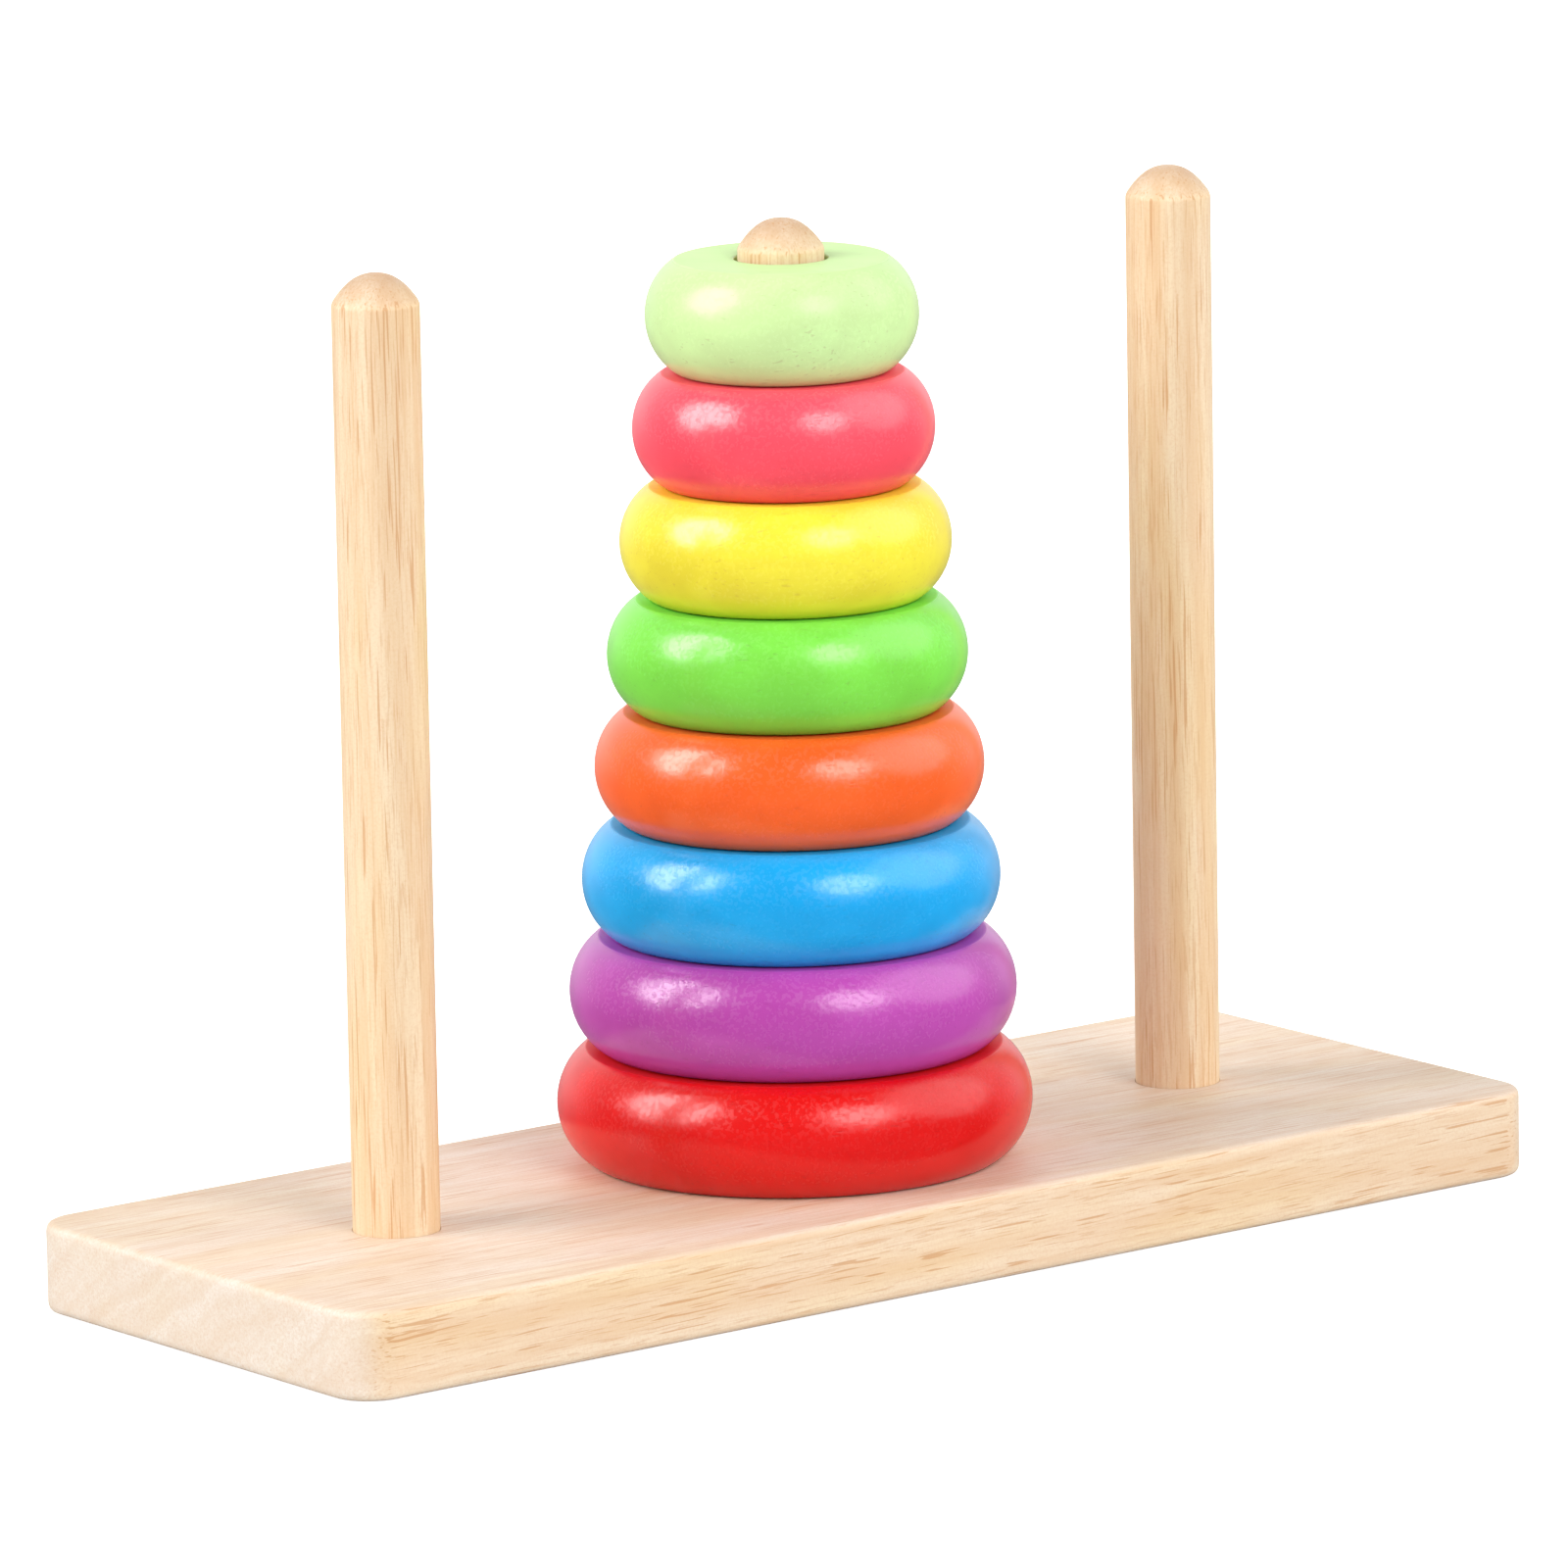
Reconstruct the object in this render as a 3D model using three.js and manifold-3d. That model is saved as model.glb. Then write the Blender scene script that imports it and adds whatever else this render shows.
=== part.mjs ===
// Tower of Hanoi puzzle: a wooden board with three dome-topped pegs glued into blind holes, and eight
// painted wooden rings stacked by size on the middle peg.
// Units are millimetres. +X runs along the board to the right peg, +Y to the back, +Z up the pegs, and
// the origin is the centre of the board's underside.
import * as THREE from "three";
import { mergeVertices } from "three/addons/utils/BufferGeometryUtils.js";
import Module from "manifold-3d";

const wasm = await Module();
wasm.setup();

// Driving dimensions
const BOARD = { length: 219, width: 81, thickness: 13, cornerRadius: 7, edgeEase: 1.2 };
const PEG = {
  radius: 6.35,
  spacing: 73,
  standing: 139, // from the board's top to the tip
  domeHeight: 4.3,
  domePower: 2.3, // the dome drops with this power of the radius: a little fuller than a parabola
  shoulderEase: 0.35,
  footChamfer: 0.8,
};
const SOCKET = { depth: 10, glueGap: 0.15, floorGap: 0.4, drillOvershoot: 1 };
const RING = {
  smallestRadius: 20,
  largestRadius: 35,
  boreRadius: 6.85,
  thickness: 16.5,
  sideBulge: 8.3, // radial half-axis of the elliptical side
  sideHeight: 9.3, // vertical half-axis of the side: more than half the thickness, so the flats cut it
  flatEdgeEase: 0.5, // rounding where the side meets a flat
  boreEase: 0.35,
  restGap: 0.15, // air between a ring and what it lies on
};
const MERGE_DISTANCE = 1e-4;
const SEGMENTS = { ring: 48, peg: 32, sideArc: 6, dome: 5, boardCorner: 7, boardEase: 3 };

// The rings, from the smallest at the top of the stack to the largest on the board.
const RINGS = [
  { name: "ring_light_green", color: 0xc5f28f },
  { name: "ring_pink", color: 0xf9536c },
  { name: "ring_yellow", color: 0xf8ee33 },
  { name: "ring_green", color: 0x5fdc45 },
  { name: "ring_orange", color: 0xf9692f },
  { name: "ring_blue", color: 0x1f97e6 },
  { name: "ring_purple", color: 0xb148bd },
  { name: "ring_red", color: 0xe41f1d },
];
const BARE_WOOD = 0xedd0a6;

const bareWood = () => new THREE.MeshStandardMaterial({ color: BARE_WOOD, roughness: 0.5, metalness: 0 });
const paintedWood = (color) => new THREE.MeshStandardMaterial({ color, roughness: 0.35, metalness: 0 });

function namedMesh(name, geometry, material) {
  const mesh = new THREE.Mesh(geometry, material);
  mesh.name = name;
  return mesh;
}

// A closed three.js geometry as a solid that can be cut.
function solidFrom(geometry) {
  const bare = geometry.clone();
  bare.deleteAttribute("normal");
  bare.deleteAttribute("uv");
  const merged = mergeVertices(bare, MERGE_DISTANCE);
  return new wasm.Manifold(
    new wasm.Mesh({
      numProp: 3,
      vertProperties: merged.attributes.position.array,
      triVerts: new Uint32Array(merged.index.array),
    }),
  );
}

function geometryFrom(solid) {
  const { vertProperties, triVerts } = solid.getMesh();
  const geometry = new THREE.BufferGeometry();
  geometry.setAttribute("position", new THREE.BufferAttribute(vertProperties, 3));
  geometry.setIndex(new THREE.BufferAttribute(triVerts, 1));
  geometry.computeVertexNormals();
  return geometry;
}

// A body of revolution about Z, from [radius, z] points that go up the outside.
function turned(profile, segments) {
  const points = profile.map(([radius, z]) => new THREE.Vector2(radius, z));
  return new THREE.LatheGeometry(points, segments).rotateX(Math.PI / 2);
}

// A rectangle with round corners, centred on the origin.
function boardOutline() {
  const { length, width, cornerRadius: r } = BOARD;
  const x = length / 2 - r;
  const y = width / 2 - r;
  const outline = new THREE.Shape();
  outline.absarc(x, y, r, 0, Math.PI / 2);
  outline.absarc(-x, y, r, Math.PI / 2, Math.PI);
  outline.absarc(-x, -y, r, Math.PI, 1.5 * Math.PI);
  outline.absarc(x, -y, r, 1.5 * Math.PI, 2 * Math.PI);
  return outline;
}

// The plank with eased edges, and a blind hole for each peg.
function baseBoard() {
  const plank = new THREE.ExtrudeGeometry(boardOutline(), {
    depth: BOARD.thickness - 2 * BOARD.edgeEase,
    curveSegments: SEGMENTS.boardCorner,
    bevelThickness: BOARD.edgeEase,
    bevelSize: BOARD.edgeEase,
    bevelOffset: -BOARD.edgeEase,
    bevelSegments: SEGMENTS.boardEase,
  }).translate(0, 0, BOARD.edgeEase);

  let solid = solidFrom(plank);
  for (const side of [-1, 0, 1]) {
    const radius = PEG.radius + SOCKET.glueGap;
    const height = SOCKET.depth + SOCKET.drillOvershoot;
    const drill = new THREE.CylinderGeometry(radius, radius, height, SEGMENTS.peg)
      .rotateX(Math.PI / 2)
      .translate(side * PEG.spacing, 0, BOARD.thickness - SOCKET.depth + height / 2);
    solid = solid.subtract(solidFrom(drill));
  }
  return namedMesh("base_board", geometryFrom(solid), bareWood());
}

// A dowel whose foot stands in the board, with a dome that starts at a small shoulder.
function peg(name, side) {
  const { radius, domeHeight, domePower, shoulderEase, footChamfer } = PEG;
  const foot = BOARD.thickness - SOCKET.depth + SOCKET.floorGap;
  const tip = BOARD.thickness + PEG.standing;
  const shoulder = tip - domeHeight;

  const profile = [
    [0, foot],
    [radius - footChamfer, foot],
    [radius, foot + footChamfer],
    [radius, shoulder - shoulderEase],
  ];
  for (let i = SEGMENTS.dome; i > 0; i--) {
    const share = (i / SEGMENTS.dome) * (1 - shoulderEase / radius);
    profile.push([radius * share, tip - domeHeight * share ** domePower]);
  }
  profile.push([0, tip]);

  const mesh = namedMesh(name, turned(profile, SEGMENTS.peg), bareWood());
  mesh.position.x = side * PEG.spacing;
  return mesh;
}

// A ring with flat faces and an elliptical side, standing on z = 0.
function ringGeometry(outerRadius) {
  const { boreRadius, boreEase, thickness, sideBulge, sideHeight, flatEdgeEase } = RING;
  const halfThickness = thickness / 2;
  const sideCentre = outerRadius - sideBulge;
  const sideTopAngle = Math.asin((halfThickness - flatEdgeEase / 2) / sideHeight);
  const cutRadius = sideCentre + sideBulge * Math.cos(Math.asin(halfThickness / sideHeight));
  const flatRadius = cutRadius - flatEdgeEase;

  const profile = [
    [boreRadius + boreEase, 0],
    [flatRadius, 0],
  ];
  for (let i = 0; i <= SEGMENTS.sideArc; i++) {
    const angle = sideTopAngle * ((2 * i) / SEGMENTS.sideArc - 1);
    profile.push([sideCentre + sideBulge * Math.cos(angle), halfThickness + sideHeight * Math.sin(angle)]);
  }
  profile.push(
    [flatRadius, thickness],
    [boreRadius + boreEase, thickness],
    [boreRadius, thickness - boreEase],
    [boreRadius, boreEase],
    [boreRadius + boreEase, 0],
  );
  return turned(profile, SEGMENTS.ring);
}

function ring({ name, color }, fromTop) {
  const last = RINGS.length - 1;
  const radiusStep = (RING.largestRadius - RING.smallestRadius) / last;
  const mesh = namedMesh(name, ringGeometry(RING.smallestRadius + radiusStep * fromTop), paintedWood(color));
  mesh.position.z = BOARD.thickness + RING.restGap + (last - fromTop) * (RING.thickness + RING.restGap);
  return mesh;
}

const tower = new THREE.Group();
tower.add(baseBoard());
tower.add(peg("left_peg", -1), peg("centre_peg", 0), peg("right_peg", 1));
RINGS.forEach((entry, fromTop) => tower.add(ring(entry, fromTop)));

export default tower;
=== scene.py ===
"""The looks of a Tower of Hanoi puzzle: a lacquered rubberwood board, three dowel pegs, eight painted rings.

Everything is in metres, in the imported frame: +X along the board to the right peg, +Y to the back and +Z up
the pegs.
"""

import math

import bmesh
import bpy
from mathutils import Euler, Matrix, Vector, noise


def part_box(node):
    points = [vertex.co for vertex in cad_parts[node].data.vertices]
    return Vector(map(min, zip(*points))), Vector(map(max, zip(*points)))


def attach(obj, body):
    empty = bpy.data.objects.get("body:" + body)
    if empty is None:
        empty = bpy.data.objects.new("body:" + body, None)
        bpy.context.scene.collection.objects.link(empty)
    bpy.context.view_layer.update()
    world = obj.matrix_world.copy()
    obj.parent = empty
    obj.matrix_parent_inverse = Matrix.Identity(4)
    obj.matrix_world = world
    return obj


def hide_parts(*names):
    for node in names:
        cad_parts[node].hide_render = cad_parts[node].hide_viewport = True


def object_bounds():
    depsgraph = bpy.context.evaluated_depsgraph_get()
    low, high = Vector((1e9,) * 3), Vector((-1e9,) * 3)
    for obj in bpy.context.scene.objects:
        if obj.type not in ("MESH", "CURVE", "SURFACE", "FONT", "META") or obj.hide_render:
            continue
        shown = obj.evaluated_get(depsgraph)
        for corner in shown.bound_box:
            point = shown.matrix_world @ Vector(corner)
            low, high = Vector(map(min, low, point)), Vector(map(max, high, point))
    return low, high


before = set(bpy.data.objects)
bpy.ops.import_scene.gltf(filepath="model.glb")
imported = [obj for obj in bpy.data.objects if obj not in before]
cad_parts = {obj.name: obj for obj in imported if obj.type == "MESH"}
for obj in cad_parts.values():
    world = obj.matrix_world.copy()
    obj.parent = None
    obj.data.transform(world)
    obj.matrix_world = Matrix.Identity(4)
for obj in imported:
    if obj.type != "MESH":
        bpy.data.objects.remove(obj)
cad_low, cad_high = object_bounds()

MM = 0.001

# The board
BOARD_CORNER_RADIUS = 7 * MM
BOARD_EDGE_EASE = 1.3 * MM
BOARD_FLAT_MARGIN = 0.6 * MM  # a narrow strip inside the eased edge, so that shading doesn't round the flats
BOARD_SANDING = 0.06 * MM  # how far hand sanding wanders on the board's sides
SANDING_SPREAD = 30 * MM  # over what distance it wanders
SOCKET_DEPTH = 10 * MM
SOCKET_GAP = 0.05 * MM
SOCKET_MOUTH_EASE = 0.05 * MM
SOCKET_MARGIN = 1.2 * MM  # a flat strip round each mouth
PEG_NODES = ("left_peg", "centre_peg", "right_peg")

# The pegs
DOME_HEIGHT = 4.3 * MM
DOME_POWER = 2.3  # the dome drops with this power of the radius
DOME_RIM = 0.45 * MM  # the narrow worn rim where the dome starts
PEG_FOOT_CHAMFER = 0.8 * MM
PEG_WANDER = 0.05 * MM  # how far the dowel's surface wanders
PEG_WANDER_SPREAD = 5 * MM

# The rings
BORE_RADIUS = 6.85 * MM
BORE_EASE = 0.35 * MM
SIDE_BULGE = 8.3 * MM  # radial half-axis of the elliptical side
SIDE_HEIGHT = 9.3 * MM  # vertical half-axis, more than half the thickness, so that the flats cut it
FLAT_EASE = 0.25 * MM
FLAT_MARGIN = 0.2 * MM  # a narrow strip at each end of a flat, so that shading doesn't round it
RING_WANDER = 0.07 * MM  # how far the turned and sanded side wanders
RING_SLOW_SPREAD = 11 * MM  # it wanders slowly over this distance
RING_QUICK_SPREAD = 3.5 * MM  # and a little more over this one

# How finely the meshes are divided
SOFT_CORNER_STEPS = 5
CORNER_STEPS = 14
LONG_SIDE_STEPS = 60
SHORT_SIDE_STEPS = 20
BOARD_HEIGHT_STEPS = 8
SOCKET_SEGMENTS = 64
PEG_SEGMENTS = 72
PEG_SHAFT_STEPS = 48
DOME_STEPS = 14
RING_SEGMENTS = 176
RING_SIDE_STEPS = 34
RING_FLAT_STEPS = 5
RING_BORE_STEPS = 4

# Colours as they look in daylight, apart from the painted shade and painted sheen noted below
RING_PAINTS = {  # colour, and how strongly the paint mirrors
    "ring_light_green": ("#C6E8A0", 0.25),
    "ring_pink": ("#FC5062", 0.51),
    "ring_yellow": ("#ECDF38", 0.47),
    "ring_green": ("#7CDE49", 0.47),
    "ring_orange": ("#F6621F", 0.54),
    "ring_blue": ("#0FA6E9", 0.50),
    "ring_purple": ("#B345A7", 0.54),
    "ring_red": ("#D60302", 0.42),
}
WOOD_FACE_WITH_PAINTED_SHEEN = "#E3D5C6"  # lacquered long grain on the flat faces, its colour paled partly as a painted sheen
WOOD_EDGE = "#E7D4BB"  # the yellower sawn edge
WOOD_END = "#DED4C8"  # end grain
WOOD_PORE = "#C08347"
WOOD_DARKER = "#F1DDC9"  # multiplied in where bands, streaks, fibres and speckle are darker
WOOD_YELLOWER = "#FFFBE6"  # multiplied in where patches are yellower
PEG_SIDE = "#E5D0B1"
# End grain on the domes. Its colour is darker partly from the wood and partly as painted shade, against the
# extra light that an upward face catches.
PEG_END_WITH_PAINTED_SHADE = "#CDB499"
WOOD_MIRROR = 0.33  # how strongly the lacquer mirrors
THICK_PAINT = (0.90, 0.86, 0.88, 1)  # multiplied in where the coat is thick
THIN_PAINT_WHITE = 0.004  # the share of white where the coat is thin
PAINTED_PORE = (0.65, 0.5, 0.55, 1)  # multiplied in where a pore shows through
PAINT_ROUGHNESS = 0.26
PAINT_FLAT_ROUGHNESS = 0.48  # on the rings' flat faces

FLOOR_GAP = 0.05 * MM  # keeps the floor and the board's underside apart
FLOOR_REACH = 6.0

# The camera stands in front of the board's left end, far off, with a long lens. Lens and sensor are in mm.
CAMERA_PLACE = Vector((-1.1644, -1.4933, 0.4439))
CAMERA_YAW = math.radians(37.92)
CAMERA_PITCH = math.radians(-11.22)
CAMERA_ROLL = math.radians(-0.97)
CAMERA_LENS = 303.1
SENSOR_WIDTH = 36.0
CAMERA_REACH = 20


def linear(hex_colour):
    """A daylight colour such as "#FF8800" as linear red, green, blue and alpha."""
    shares = [int(hex_colour[i : i + 2], 16) / 255 for i in (1, 3, 5)]
    return (*[s / 12.92 if s <= 0.04045 else ((s + 0.055) / 1.055) ** 2.4 for s in shares], 1.0)


# ---------------------------------------------------------------- meshes


def soft_corner(start, corner, end):
    """Points round a soft corner, from start to end, on a quadratic curve that heads for corner."""
    points = []
    for i in range(SOFT_CORNER_STEPS + 1):
        t = i / SOFT_CORNER_STEPS
        from_start, from_corner, from_end = (1 - t) ** 2, 2 * t * (1 - t), t**2
        points.append(tuple(
            from_start * a + from_corner * b + from_end * c for a, b, c in zip(start, corner, end)
        ))
    return points


def between(start, end, steps):
    """The points that divide a straight stretch into steps, without its two ends."""
    return [tuple(a + (b - a) * i / steps for a, b in zip(start, end)) for i in range(1, steps)]


def revolve(bm, profile, centre, segments, closed):
    """Turns (radius, z) points about the upright line through centre. Returns the rows of vertices."""
    rows = []
    for radius, z in profile:
        turns = 1 if radius == 0 else segments
        rows.append([
            bm.verts.new((
                centre.x + radius * math.cos(2 * math.pi * k / segments),
                centre.y + radius * math.sin(2 * math.pi * k / segments),
                z,
            ))
            for k in range(turns)
        ])
    pairs = list(zip(rows, rows[1:]))
    if closed:
        pairs.append((rows[-1], rows[0]))
    for lower, upper in pairs:
        for k in range(segments):
            corners = [
                lower[k % len(lower)],
                lower[(k + 1) % len(lower)],
                upper[(k + 1) % len(upper)],
                upper[k % len(upper)],
            ]
            bm.faces.new(list(dict.fromkeys(corners)))
    return rows


def wander(point, size, seed):
    """A smooth, repeatable number from about -1 to 1 that changes over distances of about size."""
    return noise.noise(Vector(point) / size + Vector((seed * 7.31, seed * 3.17, seed * 5.93)))


def finish_piece(bm, name, material, body, node, crease_degrees=38):
    """Makes a smooth-shaded piece of the mesh, on its body, in place of its CAD node."""
    bmesh.ops.recalc_face_normals(bm, faces=bm.faces)
    for face in bm.faces:
        face.smooth = True
    for edge in bm.edges:
        if edge.calc_face_angle(0) > math.radians(crease_degrees):
            edge.smooth = False
    mesh = bpy.data.meshes.new(name)
    bm.to_mesh(mesh)
    bm.free()
    mesh.materials.append(material)
    piece = bpy.data.objects.new(name, mesh)
    bpy.context.scene.collection.objects.link(piece)
    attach(piece, body)
    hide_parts(node)


def board_outline(low, high, inset):
    """The board's outline, with round corners, drawn in by inset."""
    r = BOARD_CORNER_RADIUS
    corners = (
        (high.x - r, high.y - r, 0),
        (low.x + r, high.y - r, 90),
        (low.x + r, low.y + r, 180),
        (high.x - r, low.y + r, 270),
    )

    def on_corner(x, y, degrees):
        angle = math.radians(degrees)
        return x + (r - inset) * math.cos(angle), y + (r - inset) * math.sin(angle)

    points = []
    for index, (x, y, start) in enumerate(corners):
        points += [on_corner(x, y, start + 90 * step / CORNER_STEPS) for step in range(CORNER_STEPS + 1)]
        straight_end = on_corner(*corners[(index + 1) % 4])
        points += between(points[-1], straight_end, LONG_SIDE_STEPS if index % 2 == 0 else SHORT_SIDE_STEPS)
    return points


def sanded(x, y, z, low, high):
    """A point of the board's side, moved inwards a little, as hand sanding leaves it."""
    depth = BOARD_SANDING * (0.5 + 0.5 * wander((x, y, z * 0.4), SANDING_SPREAD, seed=1))
    centre = (low + high) / 2
    inward = Vector((centre.x - x, centre.y - y, 0))
    if abs(x - centre.x) < (high.x - low.x) / 2 - BOARD_CORNER_RADIUS:
        inward.x = 0
    if abs(y - centre.y) < (high.y - low.y) / 2 - BOARD_CORNER_RADIUS:
        inward.y = 0
    inward.normalize()
    return x + depth * inward.x, y + depth * inward.y, z


def close_loop(bm, points):
    """Vertices at the points and the edges of the closed loop through them."""
    verts = [bm.verts.new(p) for p in points]
    edges = [bm.edges.new((a, b)) for a, b in zip(verts, verts[1:] + verts[:1])]
    return verts, edges


def bridge(bm, lower, upper):
    """Quads between two loops of as many vertices."""
    for k in range(len(lower)):
        after = (k + 1) % len(lower)
        bm.faces.new((lower[k], lower[after], upper[after], upper[k]))


def base_board(material):
    """The board: flat faces, sanded sides, eased edges, and a blind hole for each peg."""
    low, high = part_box("base_board")
    ease = BOARD_EDGE_EASE
    side = [(ease + BOARD_FLAT_MARGIN, low.z)]  # (inset, z) up the board's side
    side += soft_corner((ease, low.z), (0, low.z), (0, low.z + ease))
    side += between((0, low.z + ease), (0, high.z - ease), BOARD_HEIGHT_STEPS)
    side += soft_corner((0, high.z - ease), (0, high.z), (ease, high.z))
    side.append((ease + BOARD_FLAT_MARGIN, high.z))

    bm = bmesh.new()
    loops = []
    for inset, z in side:
        points = [sanded(x, y, z, low, high) for x, y in board_outline(low, high, inset)]
        loops.append(close_loop(bm, points))
    for (lower, _), (upper, _) in zip(loops, loops[1:]):
        bridge(bm, lower, upper)
    bm.faces.new(loops[0][0])
    rims = list(loops[-1][1])
    for node in PEG_NODES:
        rims += peg_socket(bm, node, high.z)
    bmesh.ops.triangle_fill(bm, use_beauty=True, edges=rims, normal=(0, 0, 1))
    finish_piece(bm, "wooden_base_board", material, "base", "base_board")


def peg_socket(bm, node, top):
    """A blind hole in the board for a peg. Returns the edges of the flat margin round its mouth."""
    low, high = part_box(node)
    centre = (low + high) / 2
    radius = (high.x - low.x) / 2 + SOCKET_GAP
    profile = [
        (radius + SOCKET_MARGIN, top),
        (radius + SOCKET_MOUTH_EASE, top),
        (radius, top - SOCKET_MOUTH_EASE),
        (radius, top - SOCKET_DEPTH),
        (0, top - SOCKET_DEPTH),
    ]
    rim = revolve(bm, profile, centre, SOCKET_SEGMENTS, closed=False)[0]
    return [bm.edges.get((a, b)) for a, b in zip(rim, rim[1:] + rim[:1])]


def peg(node, material, seed):
    """A dowel with a chamfered foot and a dome that starts at a narrow worn rim."""
    low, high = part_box(node)
    centre = (low + high) / 2
    radius = (high.x - low.x) / 2
    shoulder = high.z - DOME_HEIGHT

    def dome(share):
        return radius * share, high.z - DOME_HEIGHT * share**DOME_POWER

    rim_share = 1 - DOME_RIM / radius
    profile = [(0, low.z), (radius - PEG_FOOT_CHAMFER, low.z), (radius, low.z + PEG_FOOT_CHAMFER)]
    profile += between(profile[-1], (radius, shoulder - DOME_RIM), PEG_SHAFT_STEPS)
    profile += soft_corner((radius, shoulder - DOME_RIM), (radius, shoulder), dome(rim_share))
    profile += [dome(rim_share * (1 - i / DOME_STEPS)) for i in range(1, DOME_STEPS)]
    profile.append((0, high.z))

    bm = bmesh.new()
    revolve(bm, profile, centre, PEG_SEGMENTS, closed=False)
    for vert in bm.verts:
        outward = Vector((vert.co.x - centre.x, vert.co.y - centre.y, 0))
        if outward.length > 0:
            along = Vector((outward.x, outward.y, vert.co.z * 0.15))
            depth = PEG_WANDER * (0.5 + 0.5 * wander(along, PEG_WANDER_SPREAD, seed))
            vert.co -= outward.normalized() * depth * min(1, outward.length / radius)
    finish_piece(bm, f"wooden_{node}", material, "base", node, crease_degrees=60)


def flat_points(start, end):
    """Points across a flat, with one close to each end."""
    margin = math.copysign(FLAT_MARGIN, end[0] - start[0])
    first, last = (start[0] + margin, start[1]), (end[0] - margin, end[1])
    return [first, *between(first, last, RING_FLAT_STEPS), last]


def ring_profile(outer_radius, low_z, high_z):
    """A ring's section as a closed loop of (radius, z): flats, an elliptical side and an eased bore."""
    middle = (low_z + high_z) / 2
    half = (high_z - low_z) / 2
    side_centre = outer_radius - SIDE_BULGE
    flat_radius = side_centre + SIDE_BULGE * math.sqrt(1 - (half / SIDE_HEIGHT) ** 2)
    top_angle = math.asin((half - FLAT_EASE / 2) / SIDE_HEIGHT)

    def side_point(angle):
        return side_centre + SIDE_BULGE * math.cos(angle), middle + SIDE_HEIGHT * math.sin(angle)

    side = [side_point(top_angle * (2 * i / RING_SIDE_STEPS - 1)) for i in range(1, RING_SIDE_STEPS)]
    lower_flat = (flat_radius - FLAT_EASE, low_z)
    upper_flat = (flat_radius - FLAT_EASE, high_z)
    bore_low = (BORE_RADIUS, low_z + BORE_EASE)
    bore_high = (BORE_RADIUS, high_z - BORE_EASE)
    bore_mouth_low = (BORE_RADIUS + BORE_EASE, low_z)
    bore_mouth_high = (BORE_RADIUS + BORE_EASE, high_z)

    profile = flat_points(bore_mouth_low, lower_flat)
    profile += soft_corner(lower_flat, (flat_radius, low_z), side_point(-top_angle))
    profile += side
    profile += soft_corner(side_point(top_angle), (flat_radius, high_z), upper_flat)
    profile += flat_points(upper_flat, bore_mouth_high)
    profile += soft_corner(bore_mouth_high, (BORE_RADIUS, high_z), bore_high)
    profile += between(bore_high, bore_low, RING_BORE_STEPS)
    profile += soft_corner(bore_low, (BORE_RADIUS, low_z), bore_mouth_low)
    return profile


def ring(node, material, seed):
    """A turned ring. Its side wanders a little, as sanding and thick paint leave it. Its flats are flat."""
    low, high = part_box(node)
    centre = (low + high) / 2
    outer_radius = (high.x - low.x) / 2
    half = (high.z - low.z) / 2
    bm = bmesh.new()
    revolve(bm, ring_profile(outer_radius, low.z, high.z), centre, RING_SEGMENTS, closed=True)
    for vert in bm.verts:
        outward = Vector((vert.co.x - centre.x, vert.co.y - centre.y, 0))
        on_side = max(0, outward.length - (outer_radius - SIDE_BULGE)) / SIDE_BULGE
        level = 1 - abs(vert.co.z - centre.z) / half
        slow = wander(vert.co, RING_SLOW_SPREAD, seed)
        quick = wander(vert.co, RING_QUICK_SPREAD, seed + 0.5)
        depth = RING_WANDER * (0.62 + 0.5 * slow + 0.12 * quick) * on_side * min(1, 4 * level)
        vert.co -= outward.normalized() * depth
    finish_piece(bm, f"painted_{node}", material, node, node, crease_degrees=60)


# ---------------------------------------------------------------- materials


class Nodes:
    """A shader node tree that is built in short calls."""

    def __init__(self, data):
        self.data = data
        self.data.use_nodes = True
        self.tree = data.node_tree

    def feed(self, node, inputs):
        """Sets sockets, by name or number, to values, or links them to other nodes' sockets."""
        for key, value in inputs.items():
            if isinstance(value, bpy.types.NodeSocket):
                self.tree.links.new(value, node.inputs[key])
            else:
                node.inputs[key].default_value = value
        return node

    def add(self, kind, inputs, **settings):
        node = self.tree.nodes.new("ShaderNode" + kind)
        for key, value in settings.items():
            setattr(node, key, value)
        return self.feed(node, inputs)

    def ramp(self, value, low, high, to_low=0.0, to_high=1.0):
        """Value smoothed from to_low, at low and under, to to_high, at high and over."""
        inputs = {0: value, 1: low, 2: high, 3: to_low, 4: to_high}
        return self.add("MapRange", inputs, interpolation_type="SMOOTHSTEP").outputs[0]

    def math(self, operation, first, second=0.0, third=0.0):
        return self.add("Math", {0: first, 1: second, 2: third}, operation=operation).outputs[0]


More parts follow.
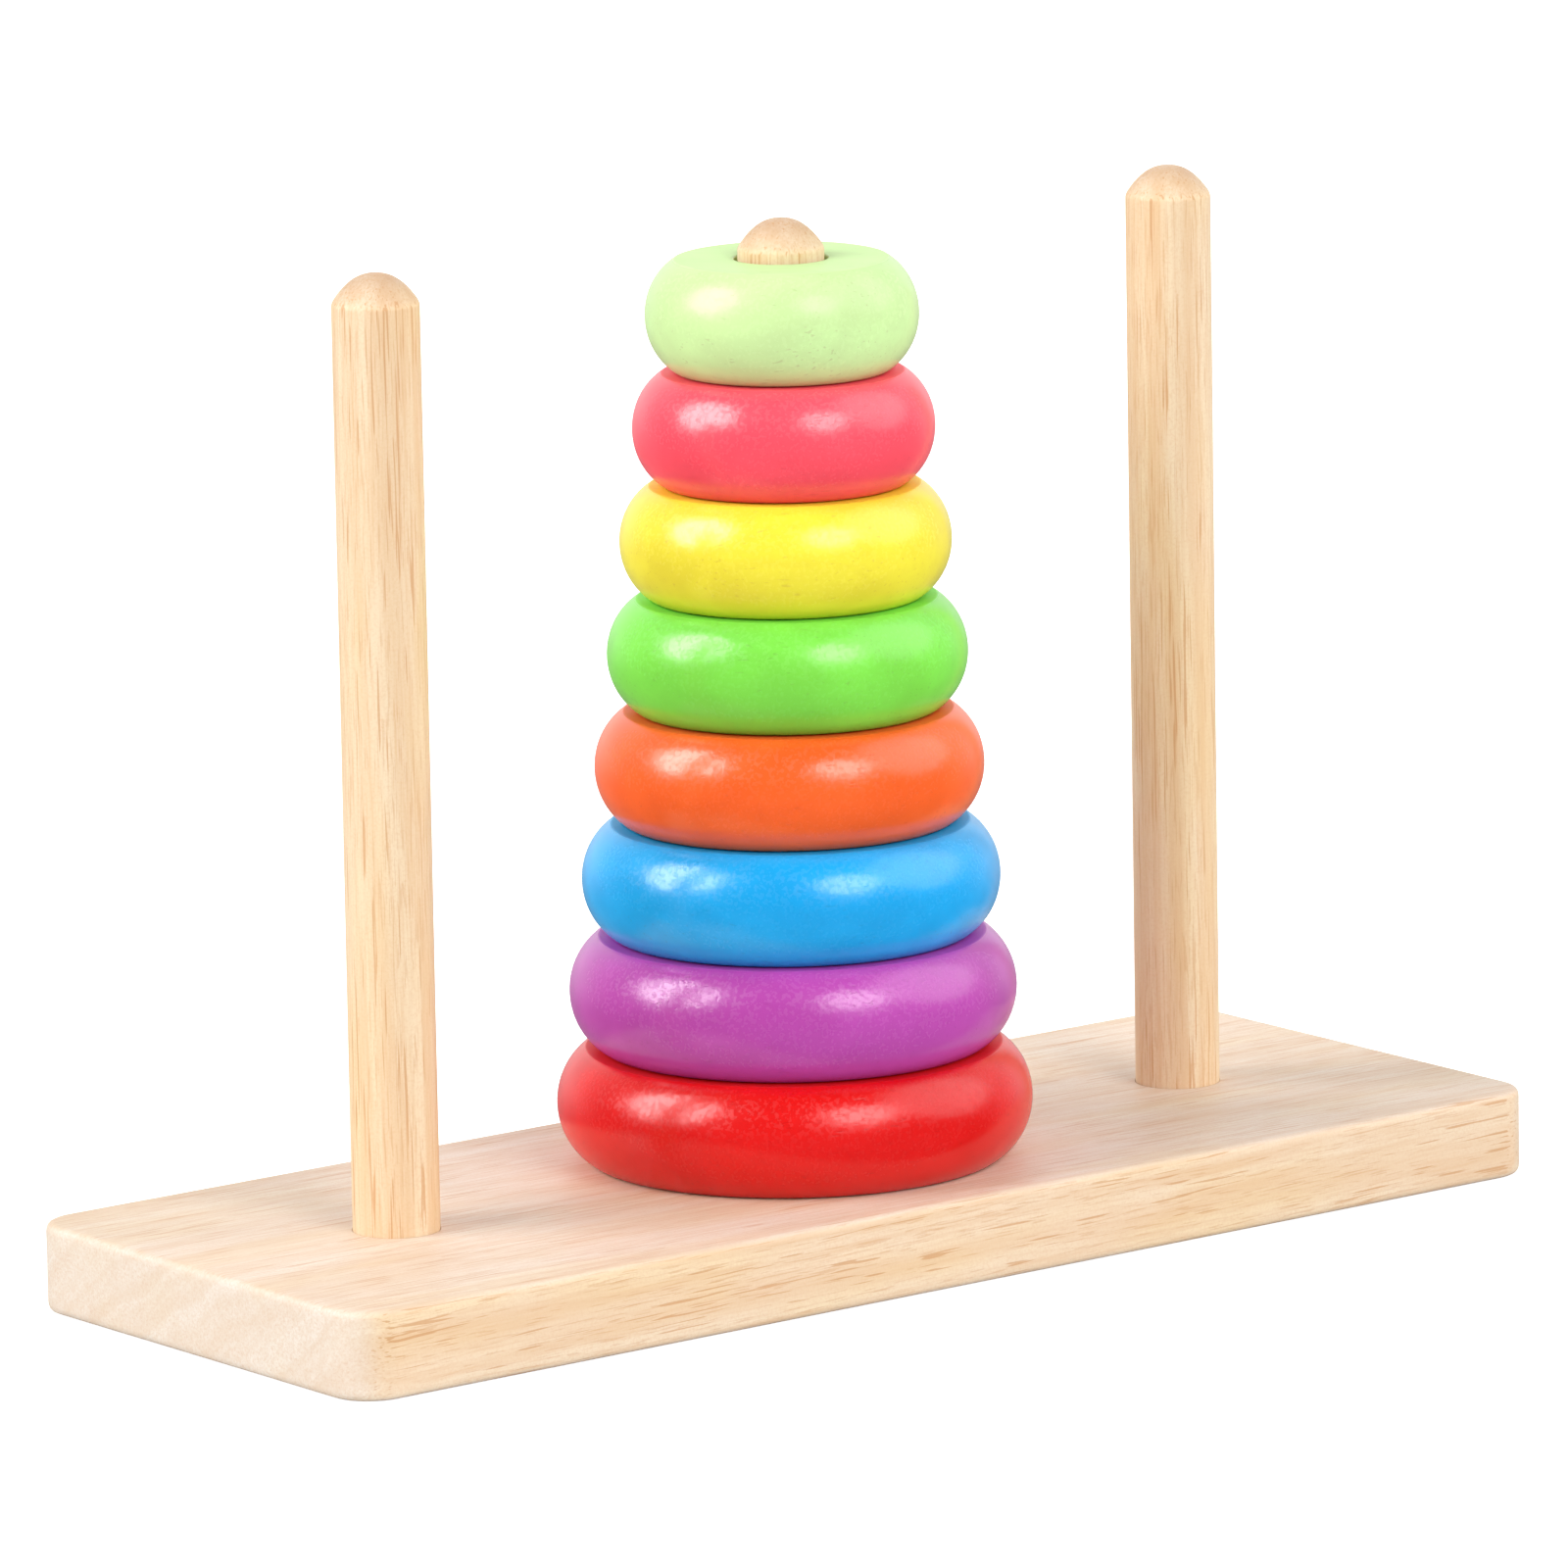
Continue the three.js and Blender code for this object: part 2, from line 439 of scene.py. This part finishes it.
class Material(Nodes):
    """A Principled material, with patterns that lie in the piece's own coordinates."""

    def __init__(self, name):
        super().__init__(bpy.data.materials.new(name))
        self.shader = self.tree.nodes["Principled BSDF"]
        place = self.tree.nodes.new("ShaderNodeTexCoord")
        self.place = place.outputs["Object"]
        self.normal = place.outputs["Normal"]

    def shifted(self, vector, turn, seed):
        """Coordinates turned, and moved so that each piece is cut from its own stretch of wood."""
        shift = (seed * 1.37, seed * 0.73, seed * 0.91)
        return self.add("Mapping", {"Vector": vector, "Location": shift, "Rotation": turn}).outputs[0]

    def stretched(self, vector, along, across):
        """Coordinates in pattern cells: so many per metre along the grain (X) and across it."""
        node = self.add("VectorMath", {0: vector, 1: (along, across, across)}, operation="MULTIPLY")
        return node.outputs[0]

    def noise(self, vector, scale=1.0, detail=2.0, roughness=0.5):
        inputs = {"Vector": vector, "Scale": scale, "Detail": detail, "Roughness": roughness}
        return self.add("TexNoise", inputs).outputs["Fac"]

    def mix(self, factor, first, second, blend="MIX"):
        node = self.add("Mix", {}, data_type="RGBA", blend_type=blend)
        return self.feed(node, {0: factor, 6: first, 7: second}).outputs[2]

    def bump(self, height, distance, strength=1.0, normal=None):
        inputs = {"Height": height, "Distance": distance, "Strength": strength}
        if normal is not None:
            inputs["Normal"] = normal
        return self.add("Bump", inputs).outputs[0]

    def rise(self):
        """How far the surface faces upwards, from -1 to 1."""
        return self.add("SeparateXYZ", {0: self.normal}).outputs[2]

    def facing(self, axis):
        """How far the surface faces along X, Y or Z, from 0 to 1, whichever way it points."""
        parts = self.add("SeparateXYZ", {0: self.normal})
        return self.math("ABSOLUTE", parts.outputs["XYZ".index(axis)])


def growth_bands(m, grain, pith, spacing):
    """Soft growth bands round a far-off pith, from 0 to 1. Their edges wander along the grain."""
    parts = m.add("SeparateXYZ", {0: grain})
    slow = m.noise(m.stretched(grain, 9, 38), detail=2)
    offset_y = m.math("SUBTRACT", parts.outputs[1], pith[0])
    offset_z = m.math("SUBTRACT", parts.outputs[2], pith[1])
    flat = m.add("CombineXYZ", {1: offset_y, 2: offset_z}).outputs[0]
    distance = m.add("VectorMath", {0: flat}, operation="LENGTH").outputs["Value"]
    wandering = m.math("MULTIPLY_ADD", slow, 14 * MM, distance)
    line = m.math("DIVIDE", wandering, spacing)
    pattern = m.add("TexNoise", {"W": line, "Scale": 1.0, "Detail": 3.0}, noise_dimensions="1D")
    return pattern.outputs["Fac"]


def vessel_pores(m, grain, length, width, rarity):
    """Short dark vessel lines along the grain, in drifts, and dots where the grain ends. From 0 to 1."""
    cells = m.noise(m.stretched(grain, 0.5 / length, 0.5 / width), detail=1, roughness=0.4)
    drift = m.noise(m.stretched(grain, 30, 190), detail=2)
    level = m.ramp(drift, 0.35, 0.65, rarity + 0.06, rarity - 0.02)
    return m.ramp(m.math("SUBTRACT", cells, level), 0.0, 0.06)


def wood(name, grain_turn, seed, base, faces):
    """Lacquered rubberwood cut from the solid: bands, fibres and pores run right through the piece.

    Faces gives, by axis, the colour of the faces across it and how much the wood's figure shows there.
    """
    m = Material(name)
    grain = m.shifted(m.place, grain_turn, seed)

    bands = growth_bands(m, grain, pith=(0.03, -0.11), spacing=5 * MM)
    fibres = m.noise(m.stretched(grain, 70, 2300), detail=3, roughness=0.65)
    streaks = m.noise(m.stretched(grain, 13, 420), detail=3)
    patches = m.noise(m.stretched(grain, 25, 110), detail=2)
    pores = vessel_pores(m, grain, 8 * MM, 0.2 * MM, 0.62)
    fine_pores = vessel_pores(m, m.shifted(grain, (0, 0, 0), 3), 3 * MM, 0.13 * MM, 0.58)
    speckle = m.noise(m.place, scale=2600, detail=1)

    colour = linear(base)
    shown = 1.0
    for axis, (tone, share) in faces.items():
        colour = m.mix(m.ramp(m.facing(axis), 0.3, 0.9), colour, linear(tone))
        shown = m.math("MULTIPLY", m.ramp(m.facing(axis), 0.2, 0.8, 1.0, share), shown)
    darker = m.mix(1.0, colour, linear(WOOD_DARKER), "MULTIPLY")
    colour = m.mix(m.ramp(bands, 0.35, 0.68, 0.0, 0.4), colour, darker)
    streak_depth = m.math("MULTIPLY", m.ramp(streaks, 0.42, 0.7, 0.0, 0.6), shown)
    colour = m.mix(streak_depth, colour, darker)
    yellower = m.mix(1.0, colour, linear(WOOD_YELLOWER), "MULTIPLY")
    patch_depth = m.math("MULTIPLY", m.ramp(patches, 0.42, 0.68, 0.0, 0.6), shown)
    colour = m.mix(patch_depth, colour, yellower)
    colour = m.mix(m.ramp(fibres, 0.4, 0.75, 0.0, 0.6), colour, darker)
    colour = m.mix(m.ramp(speckle, 0.4, 0.75, 0.0, 0.35), colour, darker)
    fine = m.math("MULTIPLY", fine_pores, 0.25)
    coarse = m.math("MULTIPLY", pores, 0.55)
    pore_depth = m.math("MULTIPLY", m.math("MAXIMUM", coarse, fine), shown)
    colour = m.mix(pore_depth, colour, linear(WOOD_PORE))

    on_flat = m.ramp(m.facing("Z"), 0.85, 0.99)
    roughness = m.math("MULTIPLY_ADD", on_flat, -0.08, m.ramp(fibres, 0.3, 0.7, 0.5, 0.6))
    roughness = m.math("MULTIPLY_ADD", pore_depth, 0.2, roughness)
    lacquer = m.bump(m.noise(m.place, scale=240, detail=1), 0.03 * MM, 0.3)
    skin = m.bump(speckle, 0.02 * MM, 0.5, lacquer)
    grooves = m.bump(fibres, 0.03 * MM, 0.5, skin)
    pits = m.math("SUBTRACT", 1.0, pore_depth)
    m.feed(m.shader, {
        "Base Color": colour,
        "Roughness": roughness,
        "Normal": m.bump(pits, 0.04 * MM, 0.5, grooves),
        "Specular IOR Level": WOOD_MIRROR,
    })
    return m.data


def toy_paint(name, hex_colour, mirror, seed):
    """Satin toy paint on turned rubberwood. The grain shows through as faint streaks, pores and dimples."""
    m = Material(name)
    grain = m.shifted(m.place, (0, 0, math.radians(38 + 17 * math.sin(seed * 2.1))), seed)

    fibres = m.noise(m.stretched(grain, 60, 900), detail=3, roughness=0.6)
    clouds = m.noise(m.stretched(grain, 45, 110), detail=2)
    pores = vessel_pores(m, grain, 1.2 * MM, 0.2 * MM, 0.67)
    dimples = m.noise(m.place, scale=1600, detail=1, roughness=0.55)

    base = linear(hex_colour)
    thick = m.mix(1.0, base, THICK_PAINT, "MULTIPLY")
    thin = m.mix(THIN_PAINT_WHITE, base, (1, 1, 1, 1))
    colour = m.mix(m.ramp(clouds, 0.35, 0.7), thin, thick)
    colour = m.mix(m.ramp(fibres, 0.4, 0.75, 0.0, 0.35), colour, thick)
    dark = m.mix(1.0, base, PAINTED_PORE, "MULTIPLY")
    colour = m.mix(m.math("MULTIPLY", pores, 0.35), colour, dark)

    # The dimples show where the lights catch them, and fade at the silhouette, on the flats and below.
    slope = m.add("LayerWeight", {}).outputs["Facing"]
    seen = m.math("MULTIPLY", m.ramp(slope, 0.15, 0.75, 1.0, 0.0), m.ramp(m.facing("Z"), 0.6, 0.9, 1.0, 0.0))
    seen = m.math("MULTIPLY", m.ramp(m.rise(), -0.1, 0.45, 0.12, 1.0), seen)
    sparkle = m.ramp(dimples, 0.5, 0.6, -0.06, 0.14)
    even = m.ramp(m.facing("Z"), 0.85, 0.99, PAINT_ROUGHNESS, PAINT_FLAT_ROUGHNESS)
    roughness = m.math("MULTIPLY_ADD", sparkle, seen, even)
    waves = m.bump(m.noise(m.place, scale=400, detail=1), 0.08 * MM, m.math("MULTIPLY", seen, 0.15))
    skin = m.bump(dimples, 0.03 * MM, seen, waves)
    pits = m.math("SUBTRACT", 1.0, pores)
    m.feed(m.shader, {
        "Base Color": colour,
        "Roughness": roughness,
        "Normal": m.bump(pits, 0.05 * MM, m.math("MULTIPLY", seen, 0.4), skin),
        "Specular IOR Level": mirror,
    })
    return m.data


def studio_floor_material():
    """A pale sheet that looks overexposed from above, and is clear from below."""
    m = Material("studio_floor")
    mottle = m.noise(m.place, scale=3, detail=2)
    m.feed(m.shader, {
        "Base Color": m.mix(mottle, (0.64, 0.64, 0.64, 1), (0.68, 0.68, 0.68, 1)),
        "Roughness": 0.9,
        "Specular IOR Level": 0.0,
        "Emission Color": (0.8, 0.8, 0.8, 1),
        "Emission Strength": m.add("LightPath", {}).outputs["Is Camera Ray"],
    })
    from_below = m.add("NewGeometry", {}).outputs["Backfacing"]
    clear = m.add("BsdfTransparent", {}).outputs[0]
    sheet = m.add("MixShader", {0: from_below, 1: m.shader.outputs[0], 2: clear})
    m.feed(m.tree.nodes["Material Output"], {"Surface": sheet.outputs[0]})
    return m.data


# ---------------------------------------------------------------- stage


def add_floor():
    """The floor. It is open under the board, so that the underside is lit in views from below."""
    low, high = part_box("base_board")
    far_corners = [(FLOOR_REACH * x, FLOOR_REACH * y, 0) for x, y in ((-1, -1), (1, -1), (1, 1), (-1, 1))]
    bm = bmesh.new()
    rims = close_loop(bm, [(x, y, 0) for x, y in board_outline(low, high, BOARD_EDGE_EASE)])[1]
    rims += close_loop(bm, far_corners)[1]
    bmesh.ops.triangle_fill(bm, use_beauty=True, edges=rims, normal=(0, 0, 1))
    mesh = bpy.data.meshes.new("studio_floor")
    bm.to_mesh(mesh)
    bm.free()
    mesh.materials.append(studio_floor_material())
    floor = bpy.data.objects.new("studio_floor", mesh)
    floor.location.z = cad_low.z - FLOOR_GAP
    floor.visible_glossy = False
    bpy.context.scene.collection.objects.link(floor)


def add_camera():
    data = bpy.data.cameras.new("camera")
    data.sensor_width = SENSOR_WIDTH
    data.lens = CAMERA_LENS
    data.clip_end = CAMERA_REACH
    camera = bpy.data.objects.new("camera", data)
    heading = Matrix.Rotation(-CAMERA_YAW, 4, "Z")
    tilt = Matrix.Rotation(math.pi / 2 + CAMERA_PITCH, 4, "X")
    roll = Matrix.Rotation(CAMERA_ROLL, 4, "Z")
    camera.matrix_world = Matrix.Translation(CAMERA_PLACE) @ heading @ tilt @ roll
    bpy.context.scene.collection.objects.link(camera)
    bpy.context.scene.camera = camera


def add_soft_light(name, azimuth, elevation, width, strength):
    """A far-off round soft light, in degrees. Azimuth is counted from the camera's side, to its right."""
    data = bpy.data.lights.new(name, "SUN")
    data.angle = math.radians(width)
    data.energy = strength
    light = bpy.data.objects.new(name, data)
    turn = azimuth - math.degrees(CAMERA_YAW)
    light.rotation_euler = Euler((math.radians(90 - elevation), 0, math.radians(turn)), "XYZ")
    bpy.context.scene.collection.objects.link(light)
    return light


def add_world():
    """A dim room with a bright backdrop behind the object. Seen directly it is white.

    Below the floor it is dark in reflections, and otherwise pale, for views from below.
    """
    n = Nodes(bpy.data.worlds.new("studio"))
    towards = n.add("TexCoord", {}).outputs["Generated"]
    heading = (math.sin(CAMERA_YAW), math.cos(CAMERA_YAW), 0)
    ahead = n.add("VectorMath", {0: towards, 1: heading}, operation="DOT_PRODUCT").outputs["Value"]
    height = n.add("SeparateXYZ", {0: towards}).outputs[2]
    path = n.add("LightPath", {})
    room = n.ramp(ahead, 0.1, 0.9, 0.12, 1.1)
    room = n.math("MULTIPLY", room, n.ramp(height, -0.3, 0.1, 0.25, 1.0))
    matt = n.math("SUBTRACT", 1.0, path.outputs["Is Glossy Ray"])
    under = n.math("MULTIPLY", n.ramp(height, -0.01, 0.0, 0.8, 0.0), matt)
    lit = n.math("MAXIMUM", room, under)
    strength = n.math("MAXIMUM", lit, path.outputs["Is Camera Ray"])
    n.feed(n.tree.nodes["Background"], {"Color": (1, 1, 1, 1), "Strength": strength})
    bpy.context.scene.world = n.data


def add_lights():
    """Soft lights on matt surfaces, and the bright screens that the gloss mirrors in their places."""
    soft_lights = (
        add_soft_light("left_soft_light", -73, 30, 44, 2.9),
        add_soft_light("right_soft_light", 37, 31, 40, 2.1),
        add_soft_light("rim_soft_light", 92, 32, 40, 1.0),
        add_soft_light("front_fill", -25, 20, 100, 0.5),
    )
    for light in soft_lights:
        light.visible_glossy = False
    screens = (
        add_soft_light("left_screen", -73, 35.5, 42, 4.6),
        add_soft_light("right_screen", 36, 36, 31, 1.6),
        add_soft_light("rim_screen", 90, 35, 56, 1.6),
    )
    for light in screens:
        light.visible_diffuse = False


bpy.context.scene.view_settings.view_transform = "Standard"
add_camera()
add_world()
add_lights()
add_floor()

along_board = (0, math.radians(1.2), math.radians(1.5))
# The flat faces get the long-grain colour, which is paled partly as a painted sheen.
board_faces = {"Z": (WOOD_FACE_WITH_PAINTED_SHEEN, 0.8), "X": (WOOD_END, 0.3)}
base_board(wood("board_wood", along_board, 1, WOOD_EDGE, board_faces))

up_the_peg = (0, math.radians(90.8), 0)
# The upward domes get the end-grain colour, which is darkened partly as painted shade.
peg_faces = {"Z": (PEG_END_WITH_PAINTED_SHADE, 0.8)}
for index, peg_node in enumerate(PEG_NODES):
    peg(peg_node, wood(f"{peg_node}_wood", up_the_peg, 2 + index, PEG_SIDE, peg_faces), index)

for index, (ring_node, (paint, mirror)) in enumerate(RING_PAINTS.items()):
    ring(ring_node, toy_paint(f"{ring_node}_paint", paint, mirror, index + 1), index + 10)
